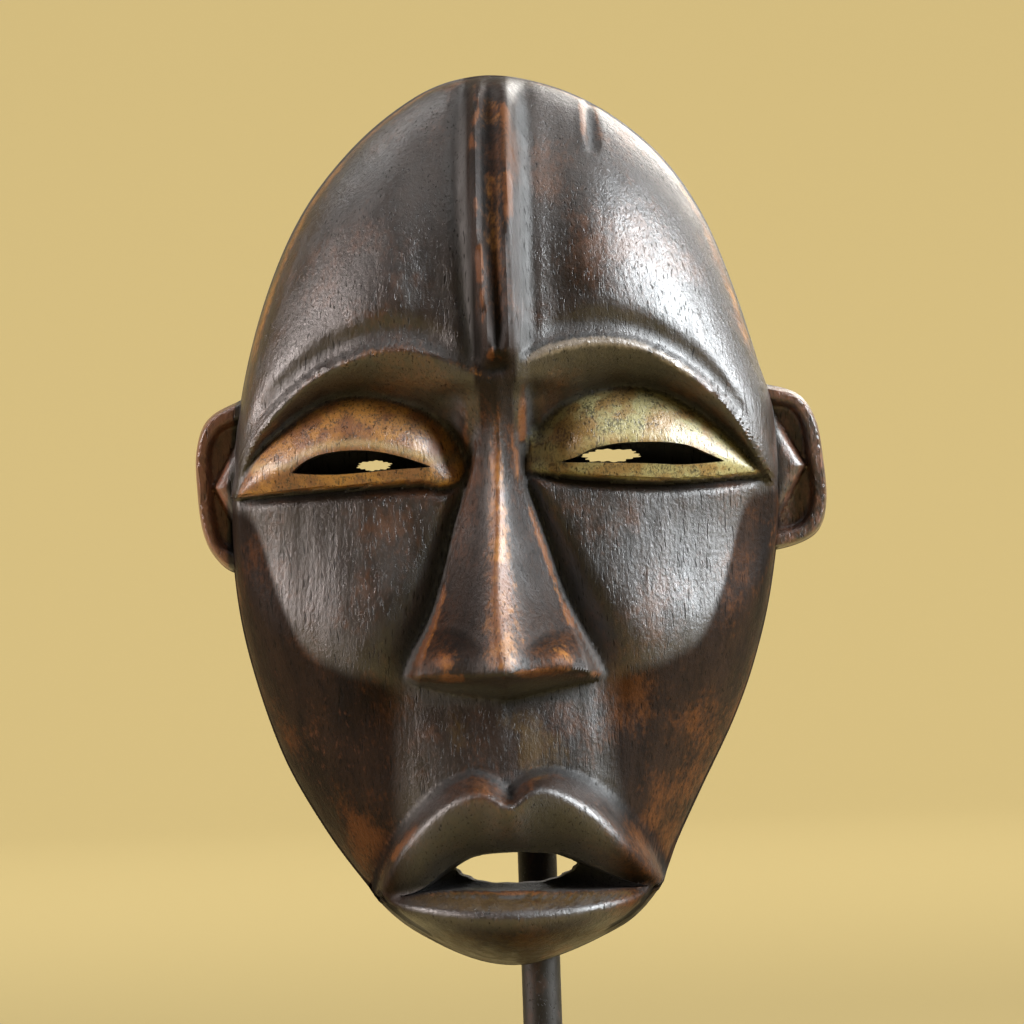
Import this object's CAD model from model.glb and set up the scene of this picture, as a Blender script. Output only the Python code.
"""A carved wooden face mask with painted lids, on a steel post with a hardwood base.

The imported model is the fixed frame. The mask is carved here as one block: its front is a
relief over the back rim's plane, given in millimetres as height(u, v), with u to the right
of the face's centre line and v above the chin.
"""

import logging
import math
from dataclasses import dataclass, field
from enum import Enum
from typing import Callable, Sequence

import bmesh
import bpy
import numpy as np
from mathutils import Matrix, Vector


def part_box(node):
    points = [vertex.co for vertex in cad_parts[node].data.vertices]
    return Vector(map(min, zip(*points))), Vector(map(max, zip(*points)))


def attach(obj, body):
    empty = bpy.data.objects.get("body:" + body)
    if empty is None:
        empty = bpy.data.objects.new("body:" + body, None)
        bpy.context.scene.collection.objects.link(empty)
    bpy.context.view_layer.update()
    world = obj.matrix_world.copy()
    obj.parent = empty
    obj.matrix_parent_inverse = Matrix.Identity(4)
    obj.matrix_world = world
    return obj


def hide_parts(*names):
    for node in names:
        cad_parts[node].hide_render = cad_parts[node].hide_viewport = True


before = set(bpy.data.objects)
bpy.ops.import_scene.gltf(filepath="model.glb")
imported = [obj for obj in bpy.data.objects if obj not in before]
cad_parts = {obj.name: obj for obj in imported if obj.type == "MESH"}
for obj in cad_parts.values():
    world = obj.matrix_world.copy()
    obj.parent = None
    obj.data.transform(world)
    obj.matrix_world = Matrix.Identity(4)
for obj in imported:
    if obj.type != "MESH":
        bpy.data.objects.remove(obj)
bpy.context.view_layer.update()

MM = 0.001
CAD_EAR_REACH = 85.0            # the CAD mask's left ear, left of the face's centre line
CAD_CROWN = 249.64              # the CAD mask's crown, above the chin
ON_OUTLINE = 0.9999             # share of the way out from which a point counts as on the outline
RING_STEPS = 72                 # points round a ring that cuts the mask
FLOOR_STEPS = 128               # points round the studio floor
Array = np.ndarray
Point = tuple[float, float]
Rgb = tuple[float, float, float]
Oval = tuple[float, float, float, float]
log = logging.getLogger("mask")


# ------------------------------------------------------------------ curves and blends
def blend(low: float, high: float, x: Array) -> Array:
    """0 below low, 1 above high, with a smooth rise between."""
    t = np.clip((x - low) / (high - low), 0, 1)
    return t * t * (3 - 2 * t)


def soft_min(a: Array, b: Array, width: float) -> Array:
    """The lower of two surfaces, with their crease rounded over a width."""
    share = np.clip(0.5 + 0.5 * (b - a) / width, 0, 1)
    return b * (1 - share) + a * share - width * share * (1 - share)


def soft_max(a: Array, b: Array, width: float) -> Array:
    """The higher of two surfaces, with their crease rounded over a width."""
    return -soft_min(-a, -b, width)


def bump(x: Array, centre: float, width: float) -> Array:
    """A bell of height 1."""
    return np.exp(-(((x - centre) / width) ** 2))


class Curve:
    """A smooth curve y(x) through a few set points."""

    def __init__(self, *points: Point) -> None:
        """Keeps the points in order of x, with a slope at each."""
        table = np.array(sorted(points), float)
        self.x, self.y = table[:, 0], table[:, 1]
        self.slope = np.gradient(self.y, self.x)

    def __call__(self, x: Array | float) -> Array:
        """The curve's height at x, level beyond its ends."""
        x = np.clip(x, self.x[0], self.x[-1])
        i = np.clip(np.searchsorted(self.x, x) - 1, 0, len(self.x) - 2)
        span = self.x[i + 1] - self.x[i]
        t = (x - self.x[i]) / span
        rise = (3 - 2 * t) * t**2 * (self.y[i + 1] - self.y[i])
        bend = (t**3 - 2 * t**2 + t) * self.slope[i] + (t**3 - t**2) * self.slope[i + 1]
        return self.y[i] + rise + span * bend

    @property
    def ends(self) -> Point:
        """The first and last x."""
        return float(self.x[0]), float(self.x[-1])


class ClosedLine:
    """A smooth closed line in the face's plane, seen from a centre inside it."""

    def __init__(self, points: Sequence[Point], centre: Point, per_span: int = 24) -> None:
        """Runs a rounded line through the points.

        Args:
            points: The line's points (u, v), going round once.
            centre: A point inside, from which every part of the line can be seen.
            per_span: Steps between two points.
        """
        p = np.array(points, float)
        before, after, later = np.roll(p, 1, 0), np.roll(p, -1, 0), np.roll(p, -2, 0)
        t = (np.arange(per_span) / per_span)[None, :, None]
        p0, p1, p2, p3 = (a[:, None, :] for a in (before, p, after, later))
        last_term = t * (3 * (p1 - p2) + p3 - p0)
        line = p1 + 0.5 * t * (p2 - p0 + t * (2 * p0 - 5 * p1 + 4 * p2 - p3 + last_term))
        self.line = line.reshape(-1, 2)
        self.centre = np.array(centre, float)
        away = self.line - self.centre
        angle, reach = np.arctan2(away[:, 1], away[:, 0]), np.hypot(away[:, 0], away[:, 1])
        order = np.argsort(angle)
        self.angles = np.r_[angle[order] - 2 * np.pi, angle[order], angle[order] + 2 * np.pi]
        self.reaches = np.tile(reach[order], 3)

    def reach(self, angle: Array) -> Array:
        """How far the line is from the centre in a direction."""
        return np.interp(angle, self.angles, self.reaches)

    def at(self, angle: Array, share: Array, inset: Array | float = 0.0) -> tuple[Array, Array]:
        """Points at a share of the way from the centre to the line, drawn in by an inset."""
        reach = (self.reach(angle) - inset) * share
        return self.centre[0] + reach * np.cos(angle), self.centre[1] + reach * np.sin(angle)

    def sides(self) -> tuple[Callable[[Array], Array], Callable[[Array], Array]]:
        """The line's left and right edge as functions of v."""
        top, bottom = int(np.argmax(self.line[:, 1])), int(np.argmin(self.line[:, 1]))
        line = np.roll(self.line, -bottom, 0)
        turn = (top - bottom) % len(line)
        right, left = line[: turn + 1], np.vstack([line[turn:], line[:1]])
        if right[:, 0].mean() < left[:, 0].mean():
            right, left = left, right
        made = []
        for branch in (left, right):
            order = np.argsort(branch[:, 1])
            vs, us = branch[order, 1], branch[order, 0]
            made.append(lambda v, vs=vs, us=us: np.interp(v, vs, us))
        return made[0], made[1]


class Unevenness:
    """Gentle seeded unevenness over the face, such as a blade leaves."""

    def __init__(self, seed: int, size: tuple[float, float]) -> None:
        """Draws a lattice of random heights, one every size[0] by size[1] millimetres."""
        self.lattice = np.random.default_rng(seed).uniform(-1, 1, (128, 128))
        self.size = size

    def __call__(self, u: Array, v: Array) -> Array:
        """The unevenness at (u, v), about -1 to 1."""
        x, y = u / self.size[0] + 40, v / self.size[1] + 20
        i, j = np.floor(x).astype(int), np.floor(y).astype(int)
        s, t = x - i, y - j
        s, t = s * s * (3 - 2 * s), t * t * (3 - 2 * t)
        a, b = self.lattice[i % 128, j % 128], self.lattice[(i + 1) % 128, j % 128]
        c, d = self.lattice[i % 128, (j + 1) % 128], self.lattice[(i + 1) % 128, (j + 1) % 128]
        return (a * (1 - s) + b * s) * (1 - t) + (c * (1 - s) + d * s) * t


# ------------------------------------------------------------------ the face's relief
@dataclass
class Eye:
    """One lowered eye: the lid's arc, its foot, and the slit's two edges."""

    lid_top: Curve
    lid_foot: Curve
    slit_top: Curve
    slit_foot: Curve
    side: int


@dataclass
class FaceRelief:
    """The carved front as heights over the plane of the back rim, in millimetres."""

    rim: float = 10.0
    outline: ClosedLine = field(default_factory=lambda: ClosedLine([
        (1, 0), (11, 1.9), (23, 6.5), (34, 12.6), (42, 22), (47, 33.5), (54, 47.5), (63.8, 66.7),
        (70.5, 84), (75.6, 104), (78.6, 128), (77.8, 152), (73.8, 167), (68, 187), (60.5, 207),
        (51, 222.5), (39.5, 234), (26, 242.8), (11, 248.1), (-2, 249.3), (-15, 246.3), (-28, 238.6),
        (-40, 228), (-51, 214.5), (-59.6, 198.5), (-67, 178), (-72, 156), (-74.8, 130), (-74.2, 106),
        (-70.2, 84), (-62.5, 60), (-52.5, 41), (-42.8, 26.7), (-33, 15), (-22, 7.3),
        (-10, 1.8)], (2.0, 122.0)))
    brow: Curve = field(default_factory=lambda: Curve(
        (-79, 129), (-72.2, 141.6), (-66.8, 151.2), (-59, 159.7), (-48.7, 167.5), (-38.7, 171.8),
        (-28.6, 174), (-21.1, 173.4), (-13.7, 171), (-6.5, 167.5), (0.8, 165), (5, 167.5), (10, 170.5),
        (18.8, 173.4), (28.7, 174.4), (38.7, 173), (49.2, 168), (57.1, 162.1), (64.3, 154.3),
        (70.2, 145.4), (76, 133)))
    midline: Curve = field(default_factory=lambda: Curve(
        (0, 13), (3, 22), (8, 30), (20, 38), (40, 45), (60, 48.5), (80, 51), (100, 52), (125, 54),
        (150, 57), (175, 58.5), (195, 56.5), (212, 51.5), (226, 44), (236, 36), (243, 28.5), (247.5, 20),
        (250, 12)))
    boxiness: Curve = field(default_factory=lambda: Curve(
        (0, 0.6), (40, 0.6), (65, 0.56), (85, 0.46), (105, 0.36), (125, 0.27), (140, 0.25), (160, 0.28),
        (185, 0.4), (210, 0.52), (235, 0.6), (250, 0.6)))
    nose_left: Curve = field(default_factory=lambda: Curve(
        (60, -25), (82, -24.2), (89.4, -22.4), (96, -19.6), (110, -15.4), (125, -11.4), (137, -7.4),
        (146, -5.8), (156, -5.2), (166, -6.4)))
    nose_right: Curve = field(default_factory=lambda: Curve(
        (60, 25), (80, 24.2), (87, 22.2), (93, 20.2), (101, 17.2), (118, 12), (127, 9.2), (137, 6.2),
        (146, 5.4), (156, 5.4), (166, 6.8)))
    nose_ridge: Curve = field(default_factory=lambda: Curve(
        (60, 56), (76, 73.5), (82, 76.6), (86, 76), (92, 73), (103, 66.3), (122, 56.8), (137, 52.6),
        (148, 53.2), (158, 56), (166, 59)))
    lip_edge: Curve = field(default_factory=lambda: Curve(
        (-38.6, 21), (-37.2, 27), (-33.3, 35.2), (-27.5, 42.9), (-21.3, 49.4), (-15.1, 53.6),
        (-8.9, 55.3), (-5.3, 54.3), (-2, 51.6), (-0.2, 48.8), (2.5, 51.6), (6.7, 54.5), (11.7, 55.4),
        (19.5, 53.4), (25.3, 50), (31.8, 43.9), (37.1, 37.7), (40.6, 32.2), (42.6, 26), (43.6, 21.5)))
    lip_crest: Curve = field(default_factory=lambda: Curve(
        (-38.6, 20.8), (-36.7, 23.2), (-32.8, 31), (-26.5, 38.6), (-20.3, 43.9), (-12.6, 48.3),
        (-6.7, 49.1), (-2, 46.6), (0.5, 46.2), (6, 49.9), (10.3, 50.2), (16.2, 47.4), (23.3, 42.4),
        (29.2, 36.6), (35.6, 30.2), (40.5, 24.5), (43.6, 21.3)))
    mouth_top: Curve = field(default_factory=lambda: Curve(
        (-33, 21), (-27, 22.6), (-23.4, 24.6), (-19.6, 27.7), (-15.9, 30.2), (-11, 32), (-2.4, 32.8),
        (9.6, 32.4), (15.7, 31.6), (21.7, 28.7), (27.6, 26), (33.6, 23.4), (40, 21.6)))
    mouth_foot: Curve = field(default_factory=lambda: Curve(
        (-38.6, 20.5), (-32.6, 20.9), (-22.2, 22.4), (-2.8, 22.2), (21.4, 21.4), (39.6, 21.3),
        (43.6, 21.3)))
    lower_lip: Curve = field(default_factory=lambda: Curve(
        (-38.6, 20), (-30.2, 19), (-15.2, 17.2), (3.1, 16.6), (15.2, 17.1), (27.3, 18.4), (39.6, 20.4),
        (43.6, 21)))
    eyes: tuple[Eye, Eye] = field(default_factory=lambda: (
        Eye(Curve((-72.9, 133.4), (-70.3, 139.4), (-66.2, 145.7), (-60.1, 151.3), (-53.5, 156.1),
                  (-46.1, 159.5), (-38.3, 160.4), (-31.3, 159.5), (-24.7, 157.6), (-19.2, 154.9),
                  (-14.6, 151.3), (-10.8, 146.2),
                  (-8.3, 139.5)),
            Curve((-72.9, 133.3), (-61.6, 134), (-51.8, 134.6), (-37.2, 135.1), (-22.4, 135.5),
                  (-11.2, 135.7), (-8.3, 138.5)),
            Curve((-58, 139.7), (-54.5, 142.4), (-50.6, 144.2), (-45.6, 145.2), (-37.7, 145.4),
                  (-31, 144.5), (-25, 142.8), (-18, 140.2)),
            Curve((-58, 139.5), (-52.7, 139.0), (-46.8, 138.7), (-37, 139.0), (-27.2, 139.6),
                  (-18, 139.9)), -1),
        Eye(Curve((7.5, 138.5), (8.4, 145.1), (12.4, 150.2), (17.7, 155.1), (24, 158.5), (30.4, 160.2),
                  (37.6, 160.5), (44.7, 159.4), (50.9, 156.6), (57, 152.7), (63, 147.9), (68.4, 142),
                  (73.2, 135.2)),
            Curve((7.5, 138), (13.5, 137.2), (21.3, 136.2), (31.6, 135), (44.4, 134), (57.2, 134.1),
                  (67.6, 134.6), (73.2, 135.1)),
            Curve((17, 140.3), (21.4, 141.5), (25.6, 143.5), (31.9, 144.8), (40.2, 145.1), (47.3, 144.8),
                  (54.1, 143.5), (58.6, 141.4), (64, 139)),
            Curve((17, 140.0), (25, 139.7), (31.7, 139.4), (40.4, 139.0), (52.4, 138.2),
                  (64, 138.7)), 1)))
    cheek_turn: Curve = field(default_factory=lambda: Curve((60, 0.0065), (108, 0.0065), (135, 0.003)))
    cheek_foot: Curve = field(default_factory=lambda: Curve(
        (0, 70), (20, 76), (36, 84), (47, 88), (57, 96), (62, 108), (68, 128), (76, 134)))
    knife: Unevenness = field(default_factory=lambda: Unevenness(3, (9, 22)))
    scraper: Unevenness = field(default_factory=lambda: Unevenness(7, (3.2, 11)))

    def __post_init__(self) -> None:
        """Reads the left and right edge and the chin line off the outline."""
        self.left, self.right = self.outline.sides()
        low = self.outline.line[self.outline.line[:, 1] < 45]
        low = low[np.argsort(low[:, 0])]
        self.chin = lambda u: np.interp(u, low[:, 0], low[:, 1])

    def shell(self, u: Array, v: Array) -> Array:
        """The plain ovoid that the face is cut into."""
        left, right = self.left(v), self.right(v)
        across = np.clip(np.abs(u - (left + right) / 2) / np.maximum((right - left) / 2, 0.5), 0, 1)
        rounding = 2.3 + 0.3 * bump(v, 140, 35)
        return self.rim + (self.midline(v) - self.rim) * (1 - across**rounding) ** self.boxiness(v)

    def forehead(self, u: Array, v: Array, shell: Array) -> Array:
        """The brow's dome with its two welts, the scoops beside them and a nick."""
        over = v - self.brow(u)
        aside = np.abs(u)
        scoop = (np.where(u < 0.6, 3.2, 5.0) * bump(np.abs(u - 0.6), 15, 11)
                 * blend(168, 190, v) * blend(252, 225, v))
        dip = 2.2 * bump(over, 3.4, 4.2) * blend(6, 18, aside) * blend(76, 62, aside)
        line = 0.8 * bump(over, 0.3, 0.7)
        left = Curve((165, -0.2), (178, -1.9), (195, -3), (214, -4), (234, -3.4), (250, -1.4))(v)
        right = Curve((165, 3), (178, 4.8), (195, 4.9), (214, 5.5), (239, 5.3), (250, 5))(v)
        welts = 4.6 * bump(u, left, 1.9) + 5.4 * bump(u, right, 2.9) + 2 * bump(u, (left + right) / 2, 4.5)
        trenches = 1.6 * bump(u, left - 4.6, 2.4) + 1.2 * bump(u, right + 5.4, 2.2)
        nick = (2.2 * bump(u, 29.6 - 0.04 * (v - 227), 1.5) - 0.9 * bump(u, 27, 1.2))
        nick = nick * blend(225, 229, v) * blend(246, 240, v)
        raised = (welts - trenches) * blend(166, 172, v) * blend(251, 244, v)
        return shell - scoop - dip - line + raised - nick

    def cheeks(self, u: Array, v: Array, shell: Array) -> Array:
        """Broad flat cheeks that meet the ovoid in a blunt edge."""
        level = 46.2 - 0.0012 * u**2 - self.cheek_turn(v) * np.clip(np.abs(u) - 30, 0, 60)**2 + Curve(
            (0, 6), (40, 6), (60, 5.5), (80, 4.2), (100, 2), (125, -1.6), (140, -3), (175, -3))(v)
        return soft_min(shell, level, 2.6)

    def eye_hollow(self, eye: Eye, u: Array, v: Array, face: Array, shell: Array) -> Array:
        """The band under the brow and the bulging lid with a line cut under it."""
        top, foot = eye.lid_top(u), eye.lid_foot(u)
        first, last = eye.lid_top.ends
        middle = np.sin(np.pi * np.clip((u - first) / (last - first), 0, 1))
        level = 41.5 - 9.0 * np.clip(np.abs(u) / 74, 0, 1) ** 3.2
        crest = shell + 0.7
        down = np.clip((self.brow(u) - v) / np.maximum(self.brow(u) - top, 1.0), 0, 1)
        band = crest - (crest - level) * (0.35 * down**1.0 + 0.65 * down**1.9)
        rise = np.clip((v - foot) / np.maximum(top - foot, 0.3), 0, 1)
        lid = level + 0.6 + 8.5 * middle**0.6 * Curve(
            (0, 0.55), (0.12, 0.72), (0.25, 0.9), (0.42, 1.0), (0.6, 0.86), (0.8, 0.52), (0.95, 0.16),
            (1, 0))(rise)
        under = foot - v
        here = u * eye.side > 0
        face = np.where(here & (v >= top) & (v < self.brow(u)), band, face)
        face = np.where((v < top) & (v > foot) & (u > first) & (u < last), lid, face)
        cut = 2.8 * np.exp(-((under / 2.0) ** 2)) * np.clip(middle * 3, 0, 1) ** 0.5
        return face - np.where((under >= 0) & (u > first - 1) & (u < last + 1), cut, 0)

    def nose(self, u: Array, v: Array, face: Array) -> Array:
        """A long wedge with sharp edges, a trench each side and a flat underside."""
        left, right = self.nose_left(v), self.nose_right(v)
        outside = np.where(u < 0, left - u, u - right)
        width = Curve((60, 11), (75, 10.5), (84, 9.5), (100, 7), (120, 4.5), (137, 2.5), (150, 1.5))(v)
        depth = Curve((52, 0), (64, 1.0), (76, 4.2), (90, 6.5), (120, 5.6), (134, 4), (142, 2),
                      (150, 0))(v)
        depth = depth * np.where(u < 0, 0.8, 1.0)
        trench = depth * np.exp(-((np.clip(outside - 0.5, 0, 99) / width) ** 2))
        centre = Curve((60, 0.5), (84, -0.4), (100, -1.5), (122, -0.4), (140, 0.3), (166, 0.8))(v)
        half = np.where(u < centre, centre - left, right - centre)
        across = np.abs(u - centre) / np.maximum(half, 1)
        fall = Curve((60, 14), (84, 14), (92, 17), (103, 17), (122, 11), (137, 6.5), (150, 5),
                     (166, 4.5))(v)
        wedge = self.nose_ridge(v) - fall * across**1.15 - np.clip(across - 1, 0, 9) * half * 5.0
        for lobe_u, lobe_v in ((-16.0, 88.3), (15.8, 86.8)):
            away = np.hypot((u - lobe_u) / 7.4, (v - lobe_v) / 5.8)
            crease = 0.6 * bump(away, 1.12, 0.25) * blend(lobe_v - 1, lobe_v + 4, v)
            wedge = wedge + 3.3 * np.exp(-1.4 * away**2) - crease
        edge = Curve((-26, 81.8), (-11, 81.6), (0, 81.8), (7, 82.3), (13, 82.6), (21, 81.8),
                     (26, 80.5))(u)
        foot = Curve((-26, 79.5), (-15.7, 76), (-6.3, 74.6), (3.5, 74.5), (13.1, 76), (20.4, 77.7),
                     (26, 79.5))(u)
        wedge = wedge - 30 * np.clip((edge - v) / np.maximum(edge - foot, 1), 0, 3)
        return soft_max(face - np.where(v < 146, trench, 0), np.where(v < 165.5, wedge, -99), 1.4)

    def lip_arch(self, u: Array) -> Array:
        """0 at the mouth's corners, 1 at its middle."""
        first, last = self.lip_edge.ends
        return np.sin(np.pi * np.clip((u - first) / (last - first), 0, 1)) ** 0.55

    def lips(self, u: Array, v: Array, face: Array) -> Array:
        """The pouting upper lip, the flat top of the lower lip and the chin below it."""
        edge, crest, mouth = self.lip_edge(u), self.lip_crest(u), self.mouth_top(u)
        foot, front = self.mouth_foot(u), self.lower_lip(u)
        first, last = self.lip_edge.ends
        inside = (u > first) & (u < last)
        arch = self.lip_arch(u)
        top = 36 + 30 * arch
        rise = np.clip((edge - v) / np.maximum(edge - crest, 0.6), 0, 1)
        wall = face + (top - face) * blend(0, 1, rise) ** 0.8 - 1.5 * bump(edge - v, 0, 1.1)
        fall = np.clip((crest - v) / np.maximum(crest - mouth, 0.6), 0, 1)
        upper = np.where(v > crest, wall, top - 15 * arch * fall**1.8)
        face = np.where(inside & (v < edge) & (v >= foot), upper, face)
        back = np.clip((foot - v) / np.maximum(foot - front, 0.4), 0, 1)
        down = np.clip((front - v) / np.maximum(front - self.chin(u), 0.8), 0, 1)
        bulge = self.rim + (top - 2 - self.rim) * np.clip(1 - down**2.2, 0, 1) ** 0.45
        lower = np.where(v > front, top - 2 - 11 * arch * (1 - back), bulge)
        return np.where(inside & (v < foot), np.maximum(lower, self.rim), face)

    def raw(self, u: Array, v: Array) -> Array:
        """The height of the front at each point, before any smoothing."""
        shell = self.shell(u, v)
        face = self.cheeks(u, v, shell)
        for eye in self.eyes:
            face = self.eye_hollow(eye, u, v, face, shell)
        root = 4.2 * bump(np.abs(u), 11, 6.5) * blend(164.5, 158, v) * blend(135, 143, v)
        face = np.where(v > self.brow(u), self.forehead(u, v, shell), face - root)
        face = self.nose(u, v, face)
        muzzle = (6 * np.exp(-((np.abs(u - 2) / 38) ** 2.4) - (np.abs(v - 28) / 30) ** 2.6)
                  * blend(90, 60, v))
        face = self.lips(u, v, face + muzzle)
        marks = 0.22 * self.knife(u, v) + 0.1 * self.scraper(u, v)
        return face + marks * blend(self.rim, self.rim + 14, face)

    def height(self, u: Array, v: Array) -> Array:
        """The height of the front, eased over a small patch as by sanding and wear."""
        lips = blend(60, 54, v) * blend(46, 40, np.abs(u - 2.5))
        brows = np.exp(-(((v - self.brow(u)) / 3) ** 2))
        lower = blend(25, 21, v) * blend(8, 12, v)
        reach = 0.75 + 0.7 * lips * (1 + lower) + 0.7 * brows
        total = 2 * self.raw(u, v)
        for turn in np.arange(6) * math.pi / 3:
            total = total + self.raw(u + reach * math.cos(turn), v + reach * math.sin(turn))
        return total / 8


# ------------------------------------------------------------------ mesh work by operator
def start_clean() -> None:
    """Leaves edit mode and deselects every object."""
    if bpy.context.object and bpy.context.object.mode != "OBJECT":
        bpy.ops.object.mode_set(mode="OBJECT")
    bpy.ops.object.select_all(action="DESELECT")


def take_new(name: str) -> bpy.types.Object:
    """Names the object that an operator has just added, and its mesh."""
    made = bpy.context.object
    made.name = name
    made.data.name = name
    return made


def smooth(piece: bpy.types.Object, degrees: float) -> bpy.types.Object:
    """Shades a piece smooth except at edges sharper than an angle."""
    start_clean()
    piece.select_set(True)
    bpy.context.view_layer.objects.active = piece
    bpy.ops.object.shade_smooth_by_angle(angle=math.radians(degrees))
    return piece


class Cut(Enum):
    """What a second shape does to a piece."""

    AWAY = "DIFFERENCE"
    JOINED = "UNION"


def carve(piece: bpy.types.Object, tool: bpy.types.Object, cut: Cut) -> None:
    """Applies a second shape to a piece and removes it."""
    start_clean()
    bpy.context.view_layer.objects.active = piece
    modifier = piece.modifiers.new(cut.name, "BOOLEAN")
    modifier.operation = cut.value
    modifier.solver = "MANIFOLD"
    modifier.object = tool
    bpy.ops.object.modifier_apply(modifier=modifier.name)
    bpy.data.meshes.remove(tool.data)


def vertex_places(piece: bpy.types.Object) -> Array:
    """A piece's vertices as an array of rows (x, y, z)."""
    places = np.zeros(len(piece.data.vertices) * 3)
    piece.data.vertices.foreach_get("co", places)
    return places.reshape(-1, 3)


def set_vertex_places(piece: bpy.types.Object, places: Array) -> None:
    """Moves a piece's vertices to an array of rows (x, y, z)."""
    piece.data.vertices.foreach_set("co", places.ravel())
    piece.data.update()


def point_outwards(piece: bpy.types.Object) -> None:
    """Turns all faces of a closed piece outwards."""
    start_clean()
    bpy.context.view_layer.objects.active = piece
    bpy.ops.object.mode_set(mode="EDIT")
    bpy.ops.mesh.select_all(action="SELECT")
    bpy.ops.mesh.normals_make_consistent(inside=False)
    bpy.ops.object.mode_set(mode="OBJECT")


def keep_field(piece: bpy.types.Object, name: str, values: Array) -> None:
    """Stores one number for each vertex, for a finish to read."""
    field_ = piece.data.attributes.new(name, "FLOAT", "POINT")
    field_.data.foreach_set("value", np.clip(values, 0, 1).astype(np.float32))


@dataclass
class MaskFrame:
    """Where the mask's own millimetres lie in the row's frame."""

    centre_x: float
    rim_y: float
    chin_z: float

    @classmethod
    def from_cad(cls) -> "MaskFrame":
        """Reads the place off the CAD mask: its left ear, its back plane and its crown."""
        low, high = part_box("carved_mask")
        return cls(low.x + CAD_EAR_REACH * MM, high.y, high.z - CAD_CROWN * MM)

    def place(self, u: Array, v: Array, height: Array | float) -> Array:
        """Rows (x, y, z) in metres for points of the mask."""
        height = np.broadcast_to(height, np.shape(u))
        return np.stack([self.centre_x + u * MM, self.rim_y - height * MM, self.chin_z + v * MM], -1)

    def read(self, places: Array) -> tuple[Array, Array, Array]:
        """u, v and height in millimetres for rows (x, y, z)."""
        return ((places[:, 0] - self.centre_x) / MM, (places[:, 2] - self.chin_z) / MM,
                (self.rim_y - places[:, 1]) / MM)


def carved_block(name: str, spot: MaskFrame, line: ClosedLine, size: tuple[int, int],
                 height_at: Callable[[Array, Array, Array, Array], Array],
                 foot: Sequence[Point]) -> bpy.types.Object:
    """A closed block whose front is a relief and whose back is flat.

    Args:
        name: The block's name.
        spot: The mask's place.
        line: The block's outline.
        size: Faces across and up.
        height_at: The relief from u, v, the direction from the centre, and the share of the
            way out to the outline.
        foot: Heights and insets of the steps that the outline takes down to the back.

    Returns:
        The closed block, with its place in its mesh.
    """
    start_clean()
    bpy.ops.mesh.primitive_grid_add(x_subdivisions=size[0], y_subdivisions=size[1], size=2)
    block = take_new(name)
    flat = vertex_places(block)
    x, y = flat[:, 0], flat[:, 1]
    across, up = x * np.sqrt(1 - y**2 / 2), y * np.sqrt(1 - x**2 / 2)
    out, angle = np.clip(np.hypot(across, up), 0, 1), np.arctan2(up, across)
    wall, edge = 0.13, 0.955
    outer = edge + (1 - edge) * np.sin(np.clip((out - 1 + wall) / wall, 0, 1) * math.pi / 2)
    share = np.where(out < 1 - wall, out / (1 - wall) * edge, outer)
    u, v = line.at(angle, share)
    set_vertex_places(block, spot.place(u, v, height_at(u, v, angle, share)))
    middle = spot.place(np.array([line.centre[0]]), np.array([line.centre[1]]), 0.0)[0]
    bpy.ops.object.mode_set(mode="EDIT")
    bpy.ops.mesh.select_mode(type="EDGE")
    bpy.ops.mesh.select_all(action="DESELECT")
    bpy.ops.mesh.select_non_manifold()
    for height, inset in foot:
        bpy.ops.mesh.extrude_region_move()
        form = bmesh.from_edit_mesh(block.data)
        for vertex in (each for each in form.verts if each.select):
            outwards = Vector((vertex.co.x - middle[0], 0, vertex.co.z - middle[2])).normalized()
            vertex.co -= outwards * inset * MM
            vertex.co.y = spot.rim_y - height * MM
        bmesh.update_edit_mesh(block.data)
    bpy.ops.mesh.edge_face_add()
    bpy.ops.object.mode_set(mode="OBJECT")
    point_outwards(block)
    return block


def lofted(name: str, rings: Sequence[Array], closed: bool = True) -> bpy.types.Object:
    """A shape extruded ring by ring, from the first ring to the last.

    Args:
        name: The shape's name.
        rings: Arrays of rows (x, y, z), all of one length.
        closed: Whether the last ring keeps its face.

    Returns:
        The shape, with its place in its mesh.
    """
    start_clean()
    bpy.ops.mesh.primitive_circle_add(vertices=len(rings[0]), fill_type="NGON")
    shape = take_new(name)
    set_vertex_places(shape, np.asarray(rings[0], float))
    bpy.ops.object.mode_set(mode="EDIT")
    bpy.ops.mesh.select_mode(type="FACE")
    bpy.ops.mesh.select_all(action="SELECT")
    for before, ring in zip(rings, rings[1:]):
        bpy.ops.mesh.extrude_region_move()
        form = bmesh.from_edit_mesh(shape.data)
        for vertex in (each for each in form.verts if each.select):
            nearest = int(np.argmin(((before - np.array(vertex.co)) ** 2).sum(1)))
            vertex.co = Vector(ring[nearest])
        bmesh.update_edit_mesh(shape.data)
    if not closed:
        bpy.ops.mesh.delete(type="ONLY_FACE")
    bpy.ops.object.mode_set(mode="OBJECT")
    point_outwards(shape)
    return shape


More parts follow.
